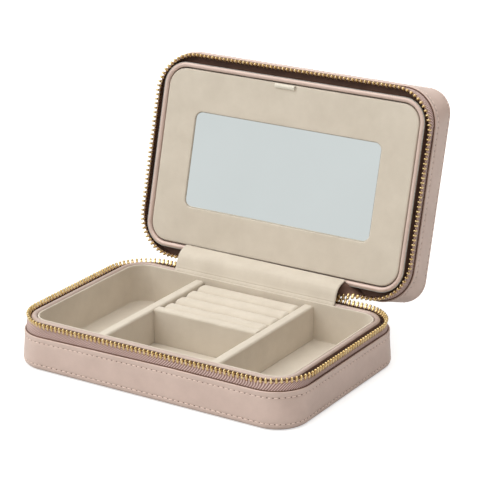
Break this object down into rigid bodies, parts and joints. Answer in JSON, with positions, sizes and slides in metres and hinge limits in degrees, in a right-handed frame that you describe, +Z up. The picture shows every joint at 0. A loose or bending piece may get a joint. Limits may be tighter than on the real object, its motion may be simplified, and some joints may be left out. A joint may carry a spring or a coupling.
{
  "type": "travel jewelry case",
  "caption": "Zip-around travel jewelry case with a hinged lid, a fold-down mirror panel, a divided suede tray and padded ring rolls.",
  "frame": {"origin": "centre of the flat underside of the base, on the table", "axes": "+X along the width, to the right seen from the front; +Y from the front to the hinge at the back; +Z up"},
  "size_m": [0.19, 0.1857, 0.1546],
  "materials": {
    "rose_leather": "satin",
    "suede": "matte",
    "foam": "matte",
    "greyboard": "matte",
    "zipper_tape": "matte",
    "zipper_brass": "satin",
    "mirror": "polished",
    "magnet_steel": "satin",
    "ribbon": "satin"
  },
  "bodies": {
    "base": {"base_leather_band": "rose_leather", "base_bottom_panel": "rose_leather", "base_core_shell": "greyboard", "base_rim_frame": "greyboard", "base_inner_rim": "rose_leather", "base_zipper_tape": "zipper_tape", "base_zipper_teeth": "zipper_brass", "base_zipper_end_stops": "zipper_brass", "tray_liner": "suede", "left_divider": "suede", "right_divider": "suede", "cross_divider": "suede", "ring_roll_bed": "foam", "ring_roll_1": "suede", "ring_roll_2": "suede", "ring_roll_3": "suede", "ring_roll_4": "suede", "hinge_spine_base_half": "rose_leather", "hinge_flap_base_hem": "suede"},
    "lid": {"lid_leather_band": "rose_leather", "lid_top_panel": "rose_leather", "lid_core_shell": "greyboard", "lid_rim_frame": "greyboard", "lid_inner_rim": "rose_leather", "lid_zipper_tape": "zipper_tape", "lid_zipper_teeth": "zipper_brass", "lid_lining": "suede", "lid_catch_magnets": "magnet_steel", "necklace_hook_bar": "suede", "necklace_hooks": "zipper_brass", "necklace_pocket_front": "suede", "necklace_pocket_gusset": "suede", "hinge_spine_lid_half": "rose_leather", "hinge_flap_lid_hem": "suede"},
    "mirror_door": {"mirror_panel": "suede", "mirror_glass": "mirror", "panel_magnets": "magnet_steel", "panel_pull_tab": "ribbon"},
    "slider": {"zipper_slider": "zipper_brass"},
    "link": {"zipper_link": "zipper_brass"},
    "pull": {"zipper_pull": "zipper_brass"}
  },
  "joints": [
    {"name": "lid_hinge", "type": "hinge", "parent": "base", "child": "lid", "pos_m": [0, 0.0653, 0.0293], "axis": [-1, 0, 0], "range_deg": [-104.45, 15.5]},
    {"name": "mirror_panel_hinge", "type": "hinge", "parent": "lid", "child": "mirror_door", "pos_m": [0, 0.06824, 0.04031], "axis": [1, 0, 0], "range_deg": [0, 90]},
    {"name": "zipper_slide", "type": "slide", "parent": "base", "child": "slider", "axis": [1, 0, 0], "range_m": [0, 0.021]},
    {"name": "zipper_link_hinge", "type": "hinge", "parent": "slider", "child": "link", "pos_m": [0.0463, 0.06695, 0.02875], "axis": [1, 0, 0], "range_deg": [0, 30]},
    {"name": "zipper_pull_hinge", "type": "hinge", "parent": "link", "child": "pull", "pos_m": [0.0463, 0.06695, 0.02515], "axis": [1, 0, 0], "range_deg": [-4, 25]}
  ]
}
